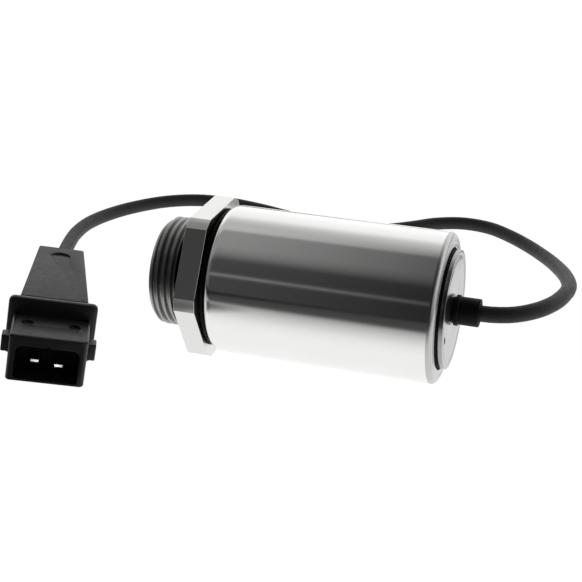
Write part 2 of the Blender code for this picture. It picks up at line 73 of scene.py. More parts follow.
# ---- valve body -------------------------------------------------------------
BARREL_WALL = 1.5 * MM
THREAD_R = 12.0 * MM                # M24 x 1.5
THREAD_PITCH = 1.5 * MM
THREAD_DEPTH = 0.92 * MM
THREAD_END = -28.9 * MM
UNDERCUT_R = 10.5 * MM
HEX_FRONT = -26.65 * MM
HEX_REAR = -22.0 * MM
NECK_R = 13.6 * MM
SHOULDER_X = -24.2 * MM
SEAT_X = -29.0 * MM
COUNTERBORE_R = 10.2 * MM
PLATE_R = 12.7 * MM
PLATE_HUB_R = 11.5 * MM
PLATE_BORE_R = 2.9 * MM
CAN_REAR = 28.2 * MM                # back of the end plate's face, inside
CABLE_START = 28.5 * MM             # where the cable and its gland begin
LIP_R = 13.05 * MM                  # opening in the barrel's rolled rear lip
LIP_FACE_R = 14.5 * MM              # where the lip's roll meets its flat rear face
SPRING_WIRE_R = 0.35 * MM

# ---- cable and plug ---------------------------------------------------------
CABLE_R = 1.75 * MM
PLUG_AT = Vector((-49.3, -33.7, 1.75)) * MM
PLUG_TURN = Euler((0.0, math.radians(9.2), math.radians(23.7)))
PLUG_PLACE = Matrix.Translation(PLUG_AT) @ PLUG_TURN.to_matrix().to_4x4()
SHROUD_W = 16.2 * MM
SHROUD_H = 10.55 * MM
SHROUD_Z = 4.85 * MM                # middle of the shroud's height
SHROUD_DEPTH = 11.6 * MM
COLLAR_W = 18.8 * MM
COLLAR_H = 13.4 * MM
COLLAR_T = 1.5 * MM
CAVITY_W = 13.2 * MM
CAVITY_H = 7.4 * MM
CAVITY_DEPTH = 9.4 * MM
CAVITY_Z = 3.95 * MM
CONTACT_Z = 3.75 * MM
CONTACT_TIPS = {"left": 1.8 * MM, "right": 0.6 * MM}    # behind the mating face
CONTACT_PITCH = 5.0 * MM
BOOT_FRONT = SHROUD_DEPTH + COLLAR_T + GAP
BOOT_END = 49.8 * MM
BOOT_Z = 6.4 * MM
BOOT_FRONT_SIZE = (15.2 * MM, 10.8 * MM)
BOOT_END_SIZE = (10.6 * MM, 8.4 * MM)
HUB_POCKET = (11.6 * MM, 8.2 * MM)
HUB_END = BOOT_FRONT + 7.0 * MM
JOINT_Y = 16.2 * MM                 # groove round the boot behind the collar
PIN_MARK_X = 4.9 * MM               # ejector marks on top of the shroud
PIN_MARK_Y = 6.6 * MM
CORE_MARK_X = 6.6 * MM              # slots left by the mould's cores behind them
CORE_MARK_Y = 10.7 * MM

CABLE_ROUTE = [
    (37.6, 0.1, 16.25), (42.2, 1.9, 16.2), (46.4, 6.3, 16.0), (49.3, 13.1, 15.3),
    (50.7, 21.8, 14.0), (50.8, 30.8, 12.1), (49.8, 39.8, 9.9), (48.2, 48.8, 7.7),
    (46.1, 57.5, 5.6), (43.4, 66.0, 3.8), (39.8, 73.9, 2.5), (35.3, 80.7, 1.9),
    (29.7, 86.4, 1.8), (23.4, 90.7, 1.8), (15.9, 91.7, 1.8), (8.8, 88.8, 1.8),
    (2.8, 83.5, 1.8), (-3.5, 79.0, 1.8), (-11.6, 76.8, 1.8), (-21.2, 77.3, 1.8),
    (-31.3, 79.6, 1.8), (-40.6, 82.5, 1.8), (-50.7, 84.4, 1.8), (-60.2, 83.7, 1.8),
    (-68.6, 79.2, 1.8), (-75.1, 71.3, 1.9), (-78.9, 62.1, 2.3), (-79.9, 51.9, 3.2),
    (-78.4, 41.4, 4.3), (-75.5, 31.6, 5.5), (-72.0, 21.9, 6.9),
]


# ---- camera -----------------------------------------------------------------
def make_camera():
    """Camera to the right of the front, looking down."""
    azimuth, elevation, roll = math.radians(16.83), math.radians(23.37), math.radians(1.31)
    target = Vector((-6.20, 0.0, 15.18)) * MM
    distance = 283.15 * MM
    back = Vector((math.sin(azimuth) * math.cos(elevation),
                   -math.cos(azimuth) * math.cos(elevation), math.sin(elevation)))
    level = Vector((math.cos(azimuth), math.sin(azimuth), 0.0))
    tilt = Matrix.Rotation(roll, 3, back)
    right = tilt @ level
    up = back.cross(right)
    data = bpy.data.cameras.new("camera")
    data.sensor_width = 36.0
    data.lens = 80.25
    data.clip_start = 0.01
    camera = bpy.data.objects.new("camera", data)
    bpy.context.scene.collection.objects.link(camera)
    camera.matrix_world = (Matrix.Translation(target + back * distance)
                           @ Matrix((right, up, back)).transposed().to_4x4())
    bpy.context.scene.camera = camera


# ---- material helpers -------------------------------------------------------
def math_node(tree, operation, *values):
    made = tree.nodes.new("ShaderNodeMath")
    made.operation = operation
    for socket, value in zip(made.inputs, values):
        if isinstance(value, bpy.types.NodeSocket):
            tree.links.new(value, socket)
        else:
            socket.default_value = value
    return made.outputs["Value"]


class Look:
    """A node material with a Principled shader, and short ways to feed it."""

    def __init__(self, name):
        self.material = bpy.data.materials.new(name)
        self.material.use_nodes = True
        self.tree = self.material.node_tree
        self.shader = self.tree.nodes["Principled BSDF"]
        self.place = self.tree.nodes.new("ShaderNodeTexCoord").outputs["Object"]

    def node(self, kind, **settings):
        made = self.tree.nodes.new("ShaderNode" + kind)
        for key, value in settings.items():
            setattr(made, key, value)
        return made

    def put(self, target, value):
        """Link an output to a socket, or set the socket's own value."""
        if isinstance(value, bpy.types.NodeSocket):
            self.tree.links.new(value, target)
        else:
            target.default_value = value

    def set(self, **values):
        for key, value in values.items():
            self.put(self.shader.inputs[key.replace("_", " ")], value)

    def scaled(self, stretch):
        mapping = self.node("Mapping")
        self.put(mapping.inputs["Vector"], self.place)
        mapping.inputs["Scale"].default_value = stretch
        return mapping.outputs["Vector"]

    def noise(self, scale, stretch=(1, 1, 1), detail=3.0, seed=0.0):
        """Noise in object space; scale is in cells per metre before the stretch."""
        made = self.node("TexNoise", noise_dimensions="4D")
        self.put(made.inputs["Vector"], self.scaled(stretch))
        made.inputs["W"].default_value = seed
        made.inputs["Scale"].default_value = scale
        made.inputs["Detail"].default_value = detail
        return made.outputs["Fac"]

    def wave(self, scale, kind="BANDS", direction="X", distortion=0.0):
        made = self.node("TexWave", wave_type=kind)
        if kind == "BANDS":
            made.bands_direction = direction
        else:
            made.rings_direction = direction
        self.put(made.inputs["Vector"], self.place)
        made.inputs["Scale"].default_value = scale
        made.inputs["Distortion"].default_value = distortion
        return made.outputs["Fac"]

    def range(self, value, low, high, start=0.3, end=0.7):
        made = self.node("MapRange")
        self.put(made.inputs["Value"], value)
        for key, number in (("From Min", start), ("From Max", end),
                            ("To Min", low), ("To Max", high)):
            made.inputs[key].default_value = number
        return made.outputs["Result"]

    def mix(self, factor, first, second):
        made = self.node("Mix", data_type="RGBA")
        self.put(made.inputs["Factor"], factor)
        self.put(made.inputs["A"], first)
        self.put(made.inputs["B"], second)
        return made.outputs["Result"]

    def bump(self, height, distance, strength=1.0, under=None):
        made = self.node("Bump")
        self.put(made.inputs["Height"], height)
        made.inputs["Distance"].default_value = distance
        made.inputs["Strength"].default_value = strength
        if under:
            self.put(made.inputs["Normal"], under)
        return made.outputs["Normal"]


def shade(colour, factor):
    return (*(min(1.0, c * factor) for c in colour), 1.0)


def metal(name, colour, roughness, spread=0.05, lay="turned", line_depth=0.004 * MM,
          grain_depth=0.0, patches=0.93, painted_shade_rough_span=None):
    """Metal with broad tone patches, uneven roughness and tool lines.

    lay says how the tool went: turned round the axis, faced in rings, or none.
    The last argument is (first X, last X, tone) of a stretch painted darker as shade, and made
    rougher too.
    """
    look = Look(name)
    broad = look.noise(70.0, seed=1.0)
    look.set(Metallic=1.0)
    tone = look.mix(look.range(broad, 0.0, 1.0), shade(colour, patches), shade(colour, 1.0))
    smear = look.noise(260.0, stretch=(1.0, 0.35, 0.35), seed=2.0)
    rough = look.range(smear, roughness - spread, roughness + spread)
    # Painted shade: between first and last X the tone is darkened by the given factor, and the
    # roughness rises.
    if painted_shade_rough_span:
        split = look.node("SeparateXYZ")
        look.put(split.inputs["Vector"], look.place)
        first, last, factor = painted_shade_rough_span
        inside = math_node(look.tree, "COMPARE", split.outputs["X"], (first + last) / 2,
                           (last - first) / 2)
        tone = look.mix(inside, tone, shade(colour, factor))
        rough = math_node(look.tree, "MULTIPLY_ADD", inside, 0.14, rough)
    look.set(Base_Color=tone, Roughness=rough)
    normal = None
    if lay == "turned":
        lines = look.noise(900.0, stretch=(6.0, 0.05, 0.05), detail=5.0)
        normal = look.bump(lines, line_depth)
    elif lay == "faced":
        rings = look.wave(520.0, kind="RINGS", direction="X", distortion=0.6)
        normal = look.bump(rings, line_depth)
    if grain_depth:
        normal = look.bump(look.noise(5200.0, detail=2.0), grain_depth, under=normal)
    if normal:
        look.set(Normal=normal)
    return look.material


def polymer(name, colour, roughness, spread=0.06, grain=3600.0, grain_depth=0.012 * MM,
            patches=0.82, specular=0.5):
    """Moulded plastic or rubber: mottled tone, fine mould grain, faint flow marks."""
    look = Look(name)
    broad = look.noise(160.0, seed=3.0)
    look.set(Base_Color=look.mix(look.range(broad, 0.0, 1.0), shade(colour, patches),
                                 shade(colour, 1.0)))
    look.set(Roughness=look.range(look.noise(700.0, seed=4.0), roughness - spread,
                                  roughness + spread))
    look.shader.inputs["Specular IOR Level"].default_value = specular
    flow = look.bump(look.noise(240.0, seed=5.0), grain_depth * 2)
    look.set(Normal=look.bump(look.noise(grain, detail=2.0), grain_depth, under=flow))
    return look.material


def banded(name, colour, dark, roughness, per_metre, depth, metallic=0.0):
    """Wound wire or lapped tape: bands along the valve axis."""
    look = Look(name)
    bands = look.wave(per_metre)
    # Painted shade: the darker tone lies in the hollows of the bump, between wires on the
    # winding and between laps on the tape.
    look.set(Base_Color=look.mix(look.range(bands, 0.0, 1.0, 0.1, 0.9), (*dark, 1.0),
                                 (*colour, 1.0)))
    look.set(Roughness=look.range(look.noise(500.0), roughness - 0.06, roughness + 0.06))
    look.set(Metallic=metallic)
    look.set(Normal=look.bump(bands, depth))
    return look.material


# ---- mesh helpers -----------------------------------------------------------
def finished(bm, name, material, sharp=32.0):
    """Object from a bmesh, smooth shaded with edges above the angle kept sharp."""
    bmesh.ops.recalc_face_normals(bm, faces=bm.faces)
    if bm.calc_volume(signed=True) < 0:
        bmesh.ops.reverse_faces(bm, faces=bm.faces)
    mesh = bpy.data.meshes.new(name)
    bm.to_mesh(mesh)
    bm.free()
    mesh.shade_smooth()
    mesh.set_sharp_from_angle(angle=math.radians(sharp))
    if material:
        mesh.materials.append(material)
    obj = bpy.data.objects.new(name, mesh)
    bpy.context.scene.collection.objects.link(obj)
    return obj


def even_angles(count):
    return [2 * math.pi * i / count for i in range(count)]


def rounded(points, steps=5):
    """Closed profile with each (x, radius, reach) corner rounded over its reach."""
    made = []
    count = len(points)
    for i, (x, radius, reach) in enumerate(points):
        corner = Vector((x, radius))
        if not reach:
            made.append((x, radius))
            continue
        before = Vector(points[i - 1][:2]) - corner
        after = Vector(points[(i + 1) % count][:2]) - corner
        start = corner + before.normalized() * min(reach, before.length / 2)
        end = corner + after.normalized() * min(reach, after.length / 2)
        for k in range(steps + 1):
            t = k / steps
            made.append(tuple(start * (1 - t) ** 2 + corner * 2 * t * (1 - t) + end * t ** 2))
    return made


def bridged(bm, loops, closed):
    """Quads between point loops; a closed set joins its last loop to its first."""
    pairs = list(zip(loops, loops[1:]))
    if closed:
        pairs.append((loops[-1], loops[0]))
    else:
        bm.faces.new(loops[0])
        bm.faces.new(loops[-1])
    for a, b in pairs:
        for i in range(len(a)):
            j = (i + 1) % len(a)
            bm.faces.new((a[i], a[j], b[j], b[i]))


def turned(name, profile, material=None, angles=None, closed=True, sharp=32.0):
    """Turn (x, radius) points about the valve axis; a radius may be f(x, angle)."""
    angles = angles or even_angles(160)
    bm = bmesh.new()
    loops = []
    for x, radius in profile:
        loop = []
        for a in angles:
            r = radius(x, a) if callable(radius) else radius
            loop.append(bm.verts.new((x, r * math.cos(a), AXIS_Z + r * math.sin(a))))
        loops.append(loop)
    bridged(bm, loops, closed)
    return finished(bm, name, material, sharp)


def outline(width, height, top, bottom=None, segments=6):
    """Corner points (x, z) of a rectangle with its own top and bottom corner radius."""
    bottom = top if bottom is None else bottom
    points = []
    corners = ((1, 1, 0, top), (-1, 1, 90, top), (-1, -1, 180, bottom), (1, -1, 270, bottom))
    for sx, sz, start, radius in corners:
        cx = sx * (width / 2 - radius)
        cz = sz * (height / 2 - radius)
        for i in range(segments + 1):
            t = math.radians(start + 90 * i / segments)
            points.append((cx + radius * math.cos(t), cz + radius * math.sin(t)))
    return points


def lofted(name, sections, material=None, closed=False, place=PLUG_PLACE, sharp=32.0):
    """Loft (y, z centre, width, height, top radius, bottom radius) sections along Y."""
    bm = bmesh.new()
    loops = []
    for y, z, width, height, top, bottom in sections:
        shape = outline(width, height, top, bottom)
        loops.append([bm.verts.new((px, y, z + pz)) for px, pz in shape])
    bridged(bm, loops, closed)
    bm.transform(place)
    return finished(bm, name, material, sharp)


def cut(target, tool, operation="DIFFERENCE"):
    """Apply one Boolean to the target's mesh and remove the tool."""
    mod = target.modifiers.new("cut", "BOOLEAN")
    mod.operation = operation
    mod.object = tool
    mod.solver = "EXACT"
    graph = bpy.context.evaluated_depsgraph_get()
    mesh = bpy.data.meshes.new_from_object(target.evaluated_get(graph))
    target.modifiers.remove(mod)
    old = target.data
    target.data = mesh
    bpy.data.meshes.remove(old)
    bpy.data.objects.remove(tool, do_unlink=True)


def resharpen(obj, sharp):
    obj.data.shade_smooth()
    obj.data.set_sharp_from_angle(angle=math.radians(sharp))


def rod(name, start, end, radius, sides=40, tip=None):
    """Cylinder or cone between two points."""
    axis = end - start
    bm = bmesh.new()
    bmesh.ops.create_cone(bm, cap_ends=True, segments=sides, radius1=radius,
                          radius2=radius if tip is None else tip, depth=axis.length)
    turn = axis.to_track_quat("Z", "Y").to_matrix().to_4x4()
    bm.transform(Matrix.Translation((start + end) / 2) @ turn)
    return finished(bm, name, None)


def block(name, x, y, z, edge=0.0, place=Matrix.Identity(4)):
    """Box between the pairs x, y and z, with its edges bevelled."""
    bm = bmesh.new()
    bmesh.ops.create_cube(bm, size=1.0)
    size = Vector((x[1] - x[0], y[1] - y[0], z[1] - z[0]))
    middle = Vector((x[0] + x[1], y[0] + y[1], z[0] + z[1])) / 2
    bm.transform(Matrix.Translation(middle) @ Matrix.Diagonal((*size, 1.0)))
    if edge:
        bmesh.ops.bevel(bm, geom=bm.edges[:], offset=edge, segments=3, profile=0.5,
                        affect="EDGES")
    bm.transform(place)
    return finished(bm, name, None)


def swept(name, points, radius, material, sides=20):
    """Round wire through the points, as a capped mesh."""
    bm = bmesh.new()
    loops = []
    side = None
    for i, point in enumerate(points):
        along = (points[min(i + 1, len(points) - 1)] - points[max(i - 1, 0)]).normalized()
        side = along.orthogonal() if side is None else side - along * side.dot(along)
        side.normalize()
        other = along.cross(side)
        loops.append([bm.verts.new(point + (side * math.cos(a) + other * math.sin(a)) * radius)
                      for a in even_angles(sides)])
    bridged(bm, loops, closed=False)
    return finished(bm, name, material)


def smooth_route(points, step):
    """Evenly spaced points on a Catmull-Rom curve through the given ones."""
    ends = [2 * points[0] - points[1], *points, 2 * points[-1] - points[-2]]
    dense = []
    for a, b, c, d in zip(ends, ends[1:], ends[2:], ends[3:]):
        for i in range(24):
            t = i / 24
            dense.append(0.5 * (2 * b + (c - a) * t + (2 * a - 5 * b + 4 * c - d) * t * t
                                + (3 * b - a - 3 * c + d) * t ** 3))
    dense.append(points[-1])
    length = sum((q - p).length for p, q in zip(dense, dense[1:]))
    count = round(length / step)
    out, walked, target = [dense[0]], 0.0, length / count
    for p, q in zip(dense, dense[1:]):
        span = (q - p).length
        while walked + span >= target - 1e-9 and len(out) < count:
            out.append(p.lerp(q, (target - walked) / span))
            target += length / count
        walked += span
    return [*out, dense[-1]]


def stands_for(obj, node, body="housing"):
    """The piece replaces one CAD node, which is hidden, and rides on its body."""
    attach(obj, body)
    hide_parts(node)
    return obj


# ---- valve body -------------------------------------------------------------
def hex_radius(shrink):
    """Hexagon with turned-off corners, one flat straight down."""
    def radius(x, angle):
        sector = math.radians(60)
        off = (angle - math.radians(90) + sector / 2) % sector - sector / 2
        return min((HEX_FLAT_R - shrink) / math.cos(off), HEX_CORNER_R - shrink)
    return radius


def hex_angles(on_flat=30, on_corner=8):
    """Angles with a point on each edge between a flat and its turned corner."""
    edge = math.acos(HEX_FLAT_R / HEX_CORNER_R)
    sector = math.radians(60)
    steps = [-edge + 2 * edge * i / on_flat for i in range(on_flat)]
    steps += [edge + (sector - 2 * edge) * i / on_corner for i in range(on_corner)]
    return [math.radians(90) + sector * side + s for side in range(6) for s in steps]


def smoothstep(low, high, value):
    t = min(max((value - low) / (high - low), 0.0), 1.0)
    return t * t * (3 - 2 * t)


def thread_radius(x, angle):
    """Helical thread with rounded crests that runs out at both ends."""
    phase = (x / THREAD_PITCH - angle / (2 * math.pi)) % 1.0
    form = smoothstep(0.14, 0.78, 1 - abs(2 * phase - 1))
    lead_in = THREAD_R - THREAD_DEPTH + (x - NOSE_X - 0.5 * MM)
    crest = min(THREAD_R, lead_in)
    root = min(THREAD_R - THREAD_DEPTH, crest)
    return root + (crest - root) * form


def drill_outlets(nose):
    """Ring of six countersunk outlet holes round the inlet."""
    circle_r = 7.1 * MM
    hole_r = 1.1 * MM
    sink = 0.25 * MM
    along = Vector((1, 0, 0))
    for a in even_angles(6):
        spot = Vector((0, circle_r * math.cos(a), AXIS_Z + circle_r * math.sin(a)))
        cut(nose, rod("drill", spot + along * (NOSE_X - MM), spot + along * (SEAT_X + MM),
                      hole_r))
        cut(nose, rod("countersink", spot + along * (NOSE_X - sink),
                      spot + along * (NOSE_X + sink), 1.5 * MM, tip=1.0 * MM))


def make_nose(steel):
    front_edge = 0.08 * MM
    rear_edge = 0.05 * MM
    relief = 0.2 * MM
    mouth_r = 5.0 * MM
    mouth_end = NOSE_X + 5.0 * MM
    pocket_r = 8.6 * MM
    seat_bore_r = 3.2 * MM
    shoulder_r = THREAD_R + 0.5 * MM
    first = NOSE_X + 0.55 * MM
    rows = 126
    thread = [(first + (THREAD_END - first) * i / rows, thread_radius)
              for i in range(rows + 1)]
    spigot_r = BARREL_R - BARREL_WALL - GAP
    face = rounded([
        (mouth_end, mouth_r, 0), (NOSE_X, mouth_r, 0.15 * MM),
        (NOSE_X, 10.6 * MM, 0.4 * MM), (first, THREAD_R - THREAD_DEPTH, 0),
    ])[:-1]
    profile = [
        *face, *thread,
        (THREAD_END + 0.45 * MM, UNDERCUT_R), (HEX_FRONT + relief, UNDERCUT_R),
        (HEX_FRONT + relief, shoulder_r), (HEX_FRONT, shoulder_r),
        (HEX_FRONT, hex_radius(front_edge)), (HEX_FRONT + front_edge, hex_radius(0)),
        (HEX_REAR - rear_edge, hex_radius(0)), (HEX_REAR, hex_radius(rear_edge)),
        (HEX_REAR, NECK_R), (BARREL_FRONT, NECK_R),
        (BARREL_FRONT, spigot_r), (SPIGOT_END - 0.3 * MM, spigot_r),
        (SPIGOT_END, spigot_r - 0.3 * MM), (SPIGOT_END, COUNTERBORE_R),
        (SHOULDER_X, COUNTERBORE_R), (SHOULDER_X, pocket_r), (SEAT_X - GAP, pocket_r),
        (SEAT_X - GAP, seat_bore_r), (mouth_end, seat_bore_r),
    ]
    nose = turned("nose_turned", profile, steel, hex_angles(), sharp=22)
    drill_outlets(nose)
    resharpen(nose, 22)
    for edge in nose.data.edges:
        ends = [nose.data.vertices[i].co.x for i in edge.vertices]
        if min(ends) > first and max(ends) < THREAD_END:
            edge.use_edge_sharp = False
    stands_for(nose, "nose_body")


def quarter(x, radius, length, height, steps=12):
    """Points (x, radius) of an eased outer edge that starts on the end face at x."""
    points = []
    for i in range(steps + 1):
        t = math.radians(90 * i / steps)
        points.append((x + length * (1 - math.cos(t)), radius - height * (1 - math.sin(t))))
    return points


def make_barrel(steel):
    """Bright shell with an eased front edge and a rear lip rolled over the black ring."""
    inner = BARREL_R - BARREL_WALL
    lip_back = BARREL_REAR - 2.5 * MM
    front = quarter(BARREL_FRONT, BARREL_R, 1.9 * MM, 1.2 * MM)
    line_x = BARREL_REAR - 1.27 * MM
    line_r = BARREL_R - 0.07 * MM
    roll = quarter(BARREL_REAR, BARREL_R - 0.03 * MM, -1.15 * MM, BARREL_R - LIP_FACE_R)
    groove_r = LIP_FACE_R - 0.1 * MM
    face = [
        (BARREL_REAR - 0.1 * MM, groove_r), (BARREL_REAR - 0.1 * MM, groove_r - 0.08 * MM),
        (BARREL_REAR, groove_r - 0.2 * MM),
    ]
    bore = rounded([
        face[-1] + (0,), (BARREL_REAR, LIP_R, 0.25 * MM), (lip_back, LIP_R, 0),
    ])[1:-1]
    profile = [
        (BARREL_FRONT, inner), *front,
        (line_x, BARREL_R), (line_x + 0.02 * MM, line_r),
        (line_x + 0.10 * MM, line_r), *reversed(roll), *face, *bore,
        (lip_back, LIP_R), (lip_back - 0.15 * MM, inner),
    ]
    stands_for(turned("barrel_shell", profile, steel, even_angles(240), sharp=40), "barrel")


def torus_profile(x, middle, section, sides=20):
    return [(x + section * math.cos(t), middle + section * math.sin(t))
            for t in even_angles(sides)]


def make_seals(rubber):
    low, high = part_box("port_o_ring")
    section = (high.x - low.x) / 2
    outer = (high.y - low.y) / 2
    port = turned("port_seal", torus_profile((low.x + high.x) / 2, outer - section, section),
                  rubber)
    stands_for(port, "port_o_ring")
    low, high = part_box("hex_seal_ring")
    outer = (high.y - low.y) / 2
    inner = NECK_R + GAP
    ring = turned("neck_seal", rounded([
        (low.x, inner, 0.1 * MM), (low.x, outer, 0.25 * MM),
        (high.x, outer, 0.25 * MM), (high.x, inner, 0.1 * MM)]), rubber)
    stands_for(ring, "hex_seal_ring")
    low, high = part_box("rear_seal_ring")
    outer = (high.y - low.y) / 2
    inner = PLATE_HUB_R + GAP
    rear = turned("plate_seal", rounded([
        (low.x, inner, 0.2 * MM), (low.x, outer, 0.3 * MM),
        (high.x, outer, 0.12 * MM), (high.x, inner, 0.1 * MM)]), rubber, even_angles(192))
    stands_for(rear, "rear_seal_ring")


def make_end_plate(plating):
    """Plated disc with a rim, a shallow ring pressed into its face, and a slot."""
    rim_back = PLATE_X - 0.9 * MM
    skirt_front = 25.6 * MM
    skirt_bore_r = 10.3 * MM
    pressed = PLATE_X - 0.03 * MM
    plate = turned("plate_disc", rounded([
        (skirt_front, skirt_bore_r, 0), (skirt_front, PLATE_HUB_R, 0),
        (rim_back, PLATE_HUB_R, 0),
        (rim_back, PLATE_R, 0.05 * MM), (PLATE_X, PLATE_R, 0.12 * MM),
        (PLATE_X, 12.15 * MM, 0.1 * MM), (PLATE_X - 0.16 * MM, 11.6 * MM, 0.15 * MM),
        (pressed, 10.9 * MM, 0.2 * MM), (pressed, PLATE_BORE_R, 0.1 * MM),
        (CAN_REAR, PLATE_BORE_R, 0), (CAN_REAR, skirt_bore_r, 0),
    ]), plating, even_angles(192), sharp=24)
    turn = Matrix.Translation((0, 0, AXIS_Z)) @ Matrix.Rotation(math.radians(109), 4, "X")
    slot = block("vent_slot", (PLATE_X - 0.8 * MM, PLATE_X + MM), (-0.85 * MM, 0.85 * MM),
                 (9.2 * MM, 10.2 * MM), place=turn)
    cut(plate, slot)
    resharpen(plate, 24)
    stands_for(plate, "end_plate")


def make_gland(rubber):
    """Flange against the plate, a groove, and a sleeve round the cable."""
    bore = CABLE_R + GAP
    neck_r = PLATE_BORE_R - GAP
    flange_r = 3.3 * MM
    sleeve_r = 3.0 * MM
    face = PLATE_X + GAP
    gland = turned("gland_bush", rounded([
        (CABLE_START, bore, 0), (CABLE_START, neck_r, 0), (face, neck_r, 0),
        (face, flange_r, 0.12 * MM), (PLATE_X + 1.15 * MM, flange_r, 0.2 * MM),
        (PLATE_X + 1.25 * MM, 2.94 * MM, 0.1 * MM), (PLATE_X + 1.7 * MM, sleeve_r, 0.2 * MM),
        (GLAND_END, sleeve_r, 0.22 * MM), (GLAND_END, bore + 0.1 * MM, 0.1 * MM),
        (GLAND_END - 0.4 * MM, bore, 0)]), rubber, even_angles(96))
    stands_for(gland, "cable_gland")


def make_return_spring(spring_steel):
    """Closed and ground compression spring."""
    turns, per_turn = 9, 36
    middle_r = (SPRING_HIGH.y - SPRING_LOW.y) / 2 - SPRING_WIRE_R
    first, last = SPRING_LOW.x + SPRING_WIRE_R, SPRING_HIGH.x - SPRING_WIRE_R
    points = []
    for i in range(turns * per_turn + 1):
        t = i / (turns * per_turn)
        lift = t - math.sin(4 * math.pi * t) / (8 * math.pi)
        a = 2 * math.pi * turns * t
        points.append(Vector((first + (last - first) * lift, middle_r * math.cos(a),
                              AXIS_Z + middle_r * math.sin(a))))
    spring = swept("lift_spring", points, SPRING_WIRE_R * 0.98, spring_steel, sides=12)
    stands_for(spring, "return_spring")
    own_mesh(spring)


def make_winding(copper):
    """Wire ridges between the bobbin's flanges."""
    low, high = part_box("winding")
    outer = (high.z - low.z) / 2
    inner = 7.7 * MM
    wires, sides = 92, 6
    pitch = (high.x - low.x) / wires
    ridges = []
    for i in range(wires * sides + 1):
        x = low.x + (high.x - low.x) * i / (wires * sides)
        dip = 1 - abs(math.sin(math.pi * (x - low.x) / pitch))
        ridges.append((x, outer - 0.12 * MM * dip))
    profile = [(low.x, inner), *ridges, (high.x, inner)]
    winding = turned("wound_coil", profile, copper, even_angles(72), sharp=50)
    stands_for(winding, "winding")


# ---- plug and cable ---------------------------------------------------------
def plug_point(x, y, z):
    return PLUG_PLACE @ Vector((x, y, z))


def shape_side(housing, sign):
    """Lug, contact way, pin mark and core mark on one side of the housing."""
    reach = sorted((sign * (SHROUD_W / 2 - 0.4 * MM), sign * (SHROUD_W / 2 + 1.7 * MM)))
    cut(housing, block("lug", reach, (3.0 * MM, 6.0 * MM), (4.6 * MM, 8.3 * MM),
                       edge=0.3 * MM, place=PLUG_PLACE), "UNION")
    x = sign * CONTACT_PITCH / 2
    cut(housing, block("contact_way", (x - 1.7 * MM, x + 1.7 * MM),
                       (CAVITY_DEPTH - MM, HUB_END + MM),
                       (CONTACT_Z - 0.7 * MM, CONTACT_Z + 0.7 * MM), place=PLUG_PLACE))
    top = SHROUD_Z + SHROUD_H / 2
    pin = plug_point(sign * PIN_MARK_X, PIN_MARK_Y, top)
    lean = (plug_point(0, 0.20, 1.0) - plug_point(0, 0, 0)).normalized()
    cut(housing, rod("pin_mark", pin - lean * 0.2 * MM, pin + lean * MM, 1.3 * MM, sides=64))
    middle = sign * CORE_MARK_X
    cut(housing, block("core_mark", (middle - 0.95 * MM, middle + 0.95 * MM),
                       (CORE_MARK_Y - 0.4 * MM, CORE_MARK_Y + 0.4 * MM),
                       (top - 0.6 * MM, top + 0.5 * MM), place=PLUG_PLACE))


def make_housing(nylon):
    """Shroud, collar and hub in one loft, from the cavity floor outwards and back."""
    collar_edge = 0.35 * MM

    def cavity(y, grow=0.0):
        return (y, CAVITY_Z, CAVITY_W + 2 * grow, CAVITY_H + 2 * grow,
                1.5 * MM + grow, 0.6 * MM + grow)

    def shroud(y, side=0.0, face=0.0):
        return (y, SHROUD_Z, SHROUD_W - 2 * side, SHROUD_H - 2 * face, 0.55 * MM, 0.45 * MM)

    def collar(y, shrink=0.0):
        return (y, COLLAR_H / 2, COLLAR_W - 2 * shrink, COLLAR_H - 2 * shrink,
                1.2 * MM - shrink * 0.5, 1.2 * MM - shrink * 0.5)

    def hub(y, shrink=0.0):
        return (y, BOOT_Z, 11.0 * MM - 2 * shrink, 7.6 * MM - 2 * shrink, MM, MM)

    back = SHROUD_DEPTH + COLLAR_T
    eased = [shroud(0.85 * MM * (1 - math.sin(t)), 0.85 * MM * (1 - math.cos(t)),
                    0.16 * MM * (1 - math.cos(t)))
             for t in (math.radians(90 * i / 6) for i in range(6, -1, -1))]
    housing = lofted("plug_housing", [
        cavity(CAVITY_DEPTH), cavity(0.3 * MM), cavity(0.09 * MM, 0.09 * MM),
        cavity(0.0, 0.25 * MM), *eased,
        shroud(SHROUD_DEPTH - 0.08 * MM), shroud(SHROUD_DEPTH, -0.08 * MM, -0.08 * MM),
        collar(SHROUD_DEPTH, collar_edge),
        collar(SHROUD_DEPTH + collar_edge * 0.3, collar_edge * 0.3),
        collar(SHROUD_DEPTH + collar_edge), collar(back - collar_edge),
        collar(back - collar_edge * 0.3, collar_edge * 0.3), collar(back, collar_edge),
        hub(back), hub(HUB_END - 0.3 * MM), hub(HUB_END, 0.3 * MM),
    ], nylon)
    for sign in (-1, 1):
        shape_side(housing, sign)
    cut(housing, block("key_notch", (-0.3 * MM, 0.3 * MM), (-MM, 3.0 * MM),
                       (CAVITY_Z + CAVITY_H / 2 - 0.2 * MM, CAVITY_Z + CAVITY_H / 2 + 0.4 * MM),
                       place=PLUG_PLACE))
    resharpen(housing, 30)
    return stands_for(housing, "connector_housing")


